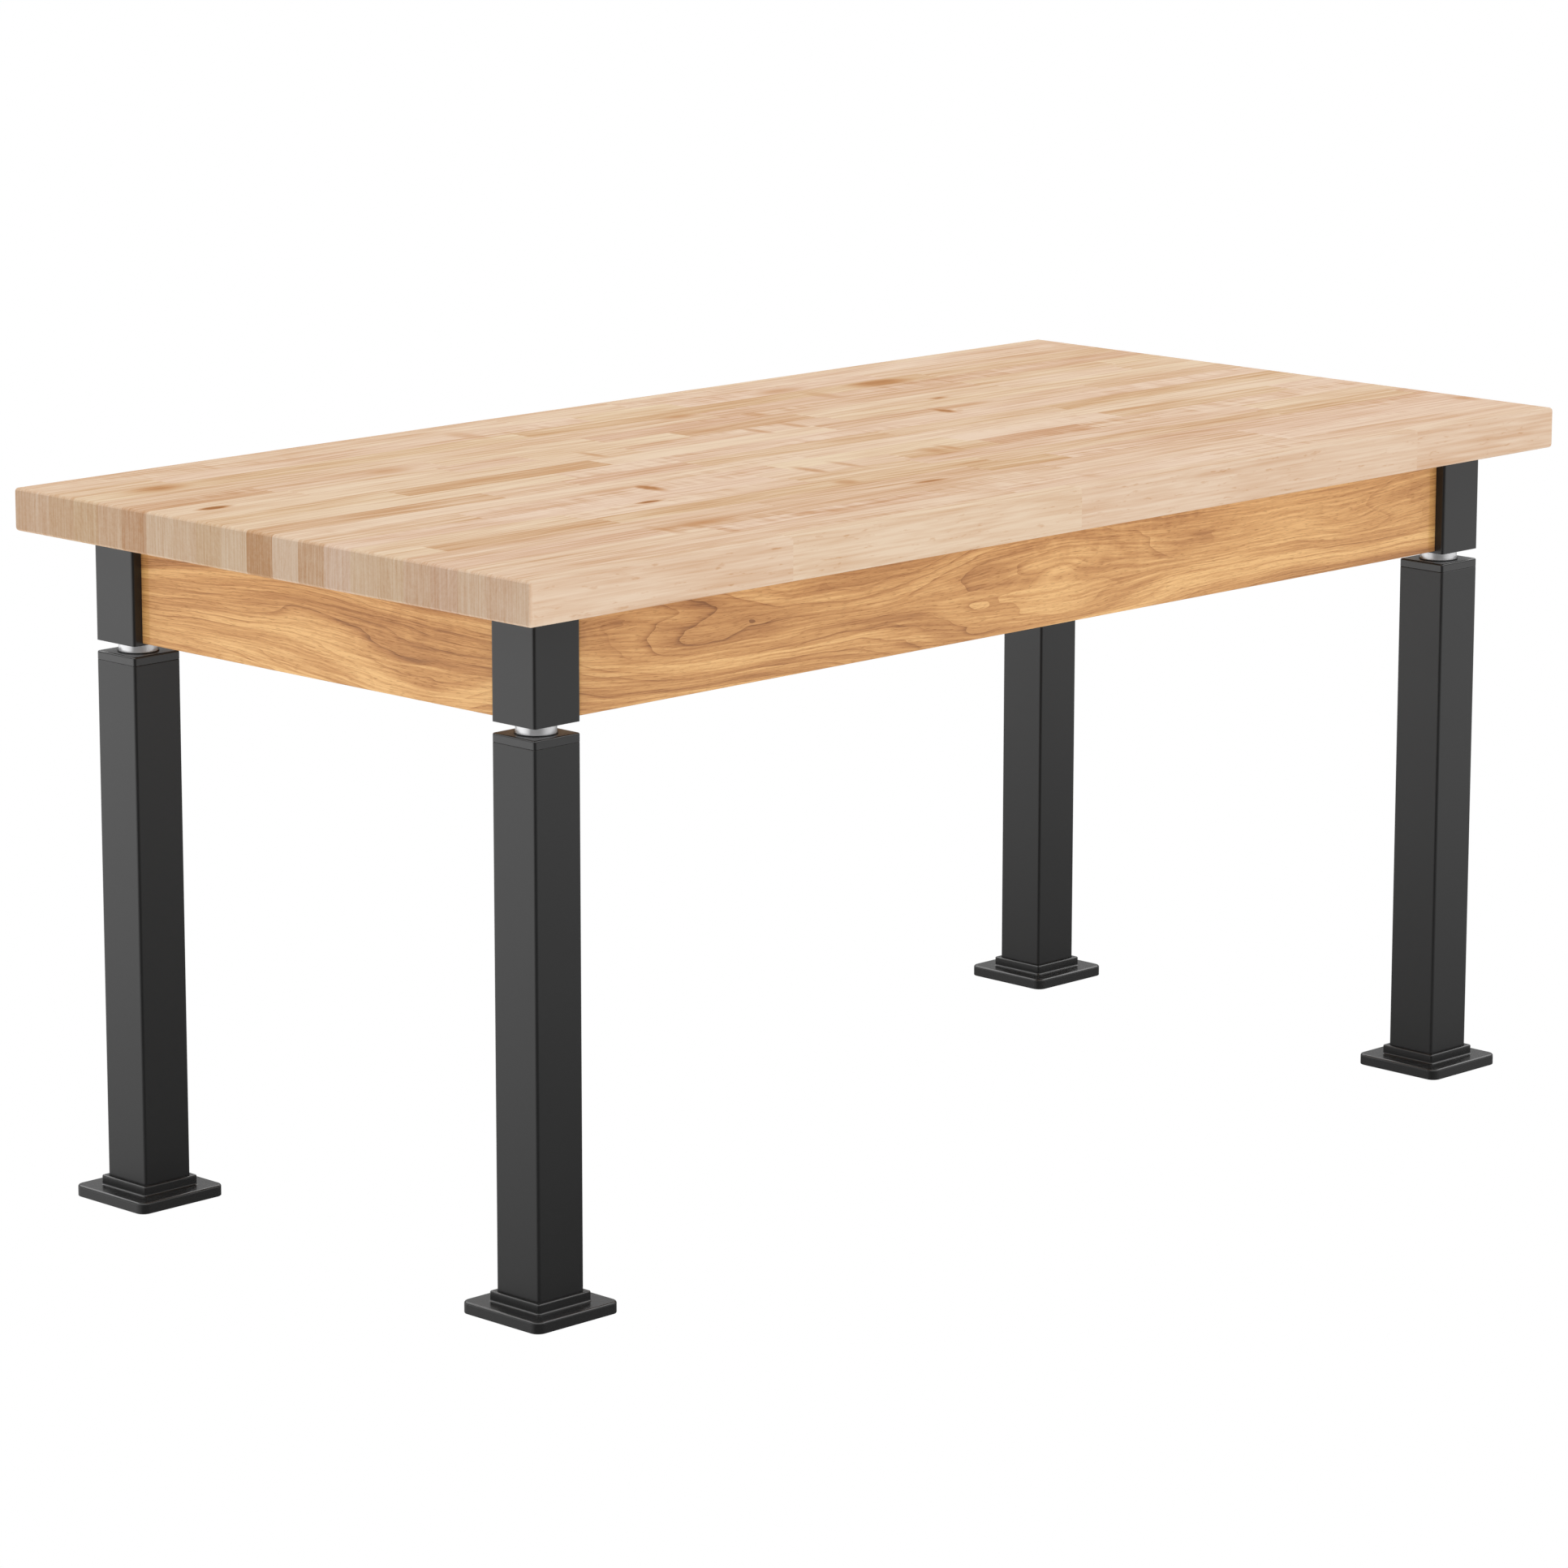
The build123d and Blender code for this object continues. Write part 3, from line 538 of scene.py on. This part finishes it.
enamel, gloss = surfaced("black_enamel", Specular_IOR_Level=0.5)
enamel_place = gloss.node("TexCoord", None, "Object")
peel = enamel_place.noise(160, 2) - 0.5
pool = enamel_place.noise(14, 1)
enamel_colour = pool.shade([(0.0, grey(0.014)), (1.0, grey(0.017))])
finish_with(enamel, Base_Color=enamel_colour, Roughness=0.24 + peel * 0.04)
refinish(enamel, "leg_cap_", "foot_", "crank_arm")

# Columns: round steel tubes fixed in the sleeves, hard chromed and ground to a satin, so that
# the wipers seal on them as the legs slide.

# Only partly metallic: the light grey base colour is mostly diffuse, a painted reflection that keeps the
# columns light, with the lapping marks in it.
chrome, plate = surfaced("hard_chrome", Metallic=0.4)
chrome_place = plate.node("TexCoord", None, "Object")
lapping = chrome_place.stretched(60, 60, 1800).noise(1, 2) - 0.5
lapping_and_painted_reflection = (lapping + 0.5).shade([(0.0, (0.80, 0.80, 0.81)), (1.0, (0.88, 0.88, 0.89))])
finish_with(chrome, Base_Color=lapping_and_painted_reflection, Roughness=0.24 + lapping * 0.08)
refinish(chrome, "column_front", "column_back")

# Wipers: moulded dark rubber rings round the columns, pressed into the caps and standing a
# hair proud of them.

rubber, mould = surfaced("wiper_rubber", Specular_IOR_Level=0.5)
rubber_place = mould.node("TexCoord", None, "Object")
bloom = rubber_place.noise(600, 2) - 0.5
rubber_colour = (bloom + 0.5).shade([(0.0, grey(0.006)), (1.0, grey(0.014))])
finish_with(rubber, Base_Color=rubber_colour, Roughness=0.38 + bloom * 0.2)
refinish(rubber, "wiper_ring_")

# Bushes and sliders: turned from natural bearing plastic, pressed into the caps and onto the
# columns' lower ends.

acetal, turned = surfaced("bearing_plastic", Specular_IOR_Level=0.45)
acetal_place = turned.node("TexCoord", None, "Object")
tool_mark = acetal_place.stretched(30, 30, 2500).noise(1, 2) - 0.5
acetal_colour = (tool_mark + 0.5).shade([(0.0, (0.66, 0.64, 0.58)), (1.0, (0.76, 0.74, 0.68))])
finish_with(acetal, Base_Color=acetal_colour, Roughness=0.42 + tool_mark * 0.2)
refinish(acetal, "guide_bush_", "column_sliders")

# Steel inside: rods, barrels, plates, screws and the pump's moving parts, ground or turned
# bright and oiled.

steel, bright = surfaced("ground_steel", Metallic=1.0)
steel_place = bright.node("TexCoord", None, "Object")
grinding = steel_place.stretched(900, 900, 60).noise(1, 3, 0.6) - 0.5
steel_colour = (grinding + 0.5).shade([(0.0, (0.36, 0.36, 0.37)), (1.0, (0.56, 0.56, 0.57))])
finish_with(steel, Base_Color=steel_colour, Roughness=0.34 + grinding * 0.25)
refinish(steel, "piston_rod_", "cylinder_barrels", "cylinder_glands", "column_head_plates", "apron_screws",
         "frame_screws", "pump_guide_rods", "pump_crosshead", "pump_pistons", "lead_screw", "crank_pin")

# Cylinder heads and the pump's head, barrels and end plate: aluminium, sawn from bar and
# milled to size.

aluminium, milled = surfaced("milled_aluminium", Metallic=1.0)
aluminium_place = milled.node("TexCoord", None, "Object")
cutter = aluminium_place.stretched(1400, 90, 1400).noise(1, 2, 0.6) - 0.5
aluminium_colour = (cutter + 0.5).shade([(0.0, (0.56, 0.56, 0.57)), (1.0, (0.74, 0.74, 0.75))])
finish_with(aluminium, Base_Color=aluminium_colour, Roughness=0.36 + cutter * 0.25)
refinish(aluminium, "cylinder_heads", "pump_head", "pump_barrels", "pump_end_plate")

# Frame under the top: gussets, rails, brackets and the pump's mounting plate, pressed and
# sawn from steel and powder coated with the legs.

refinish(coat, "corner_gussets", "stiffening_rails", "apron_brackets", "pump_mount_plate")

# Hoses, their clips and the crank's grip: black polyamide, extruded for the hoses and
# moulded with a fine matt grain for the rest.

polyamide, moulded = surfaced("black_polyamide", Specular_IOR_Level=0.45)
polyamide_place = moulded.node("TexCoord", None, "Object")
grain = polyamide_place.noise(1100, 2) - 0.5
polyamide_colour = (grain + 0.5).shade([(0.0, grey(0.012)), (1.0, grey(0.024))])
polyamide_bump = moulded.node("Bump", Strength=0.3, Distance=0.00006, Height=grain)
finish_with(polyamide, Base_Color=polyamide_colour, Roughness=0.5 + grain * 0.2, Normal=polyamide_bump)
refinish(polyamide, "hydraulic_hoses", "hose_clips", "crank_grip")
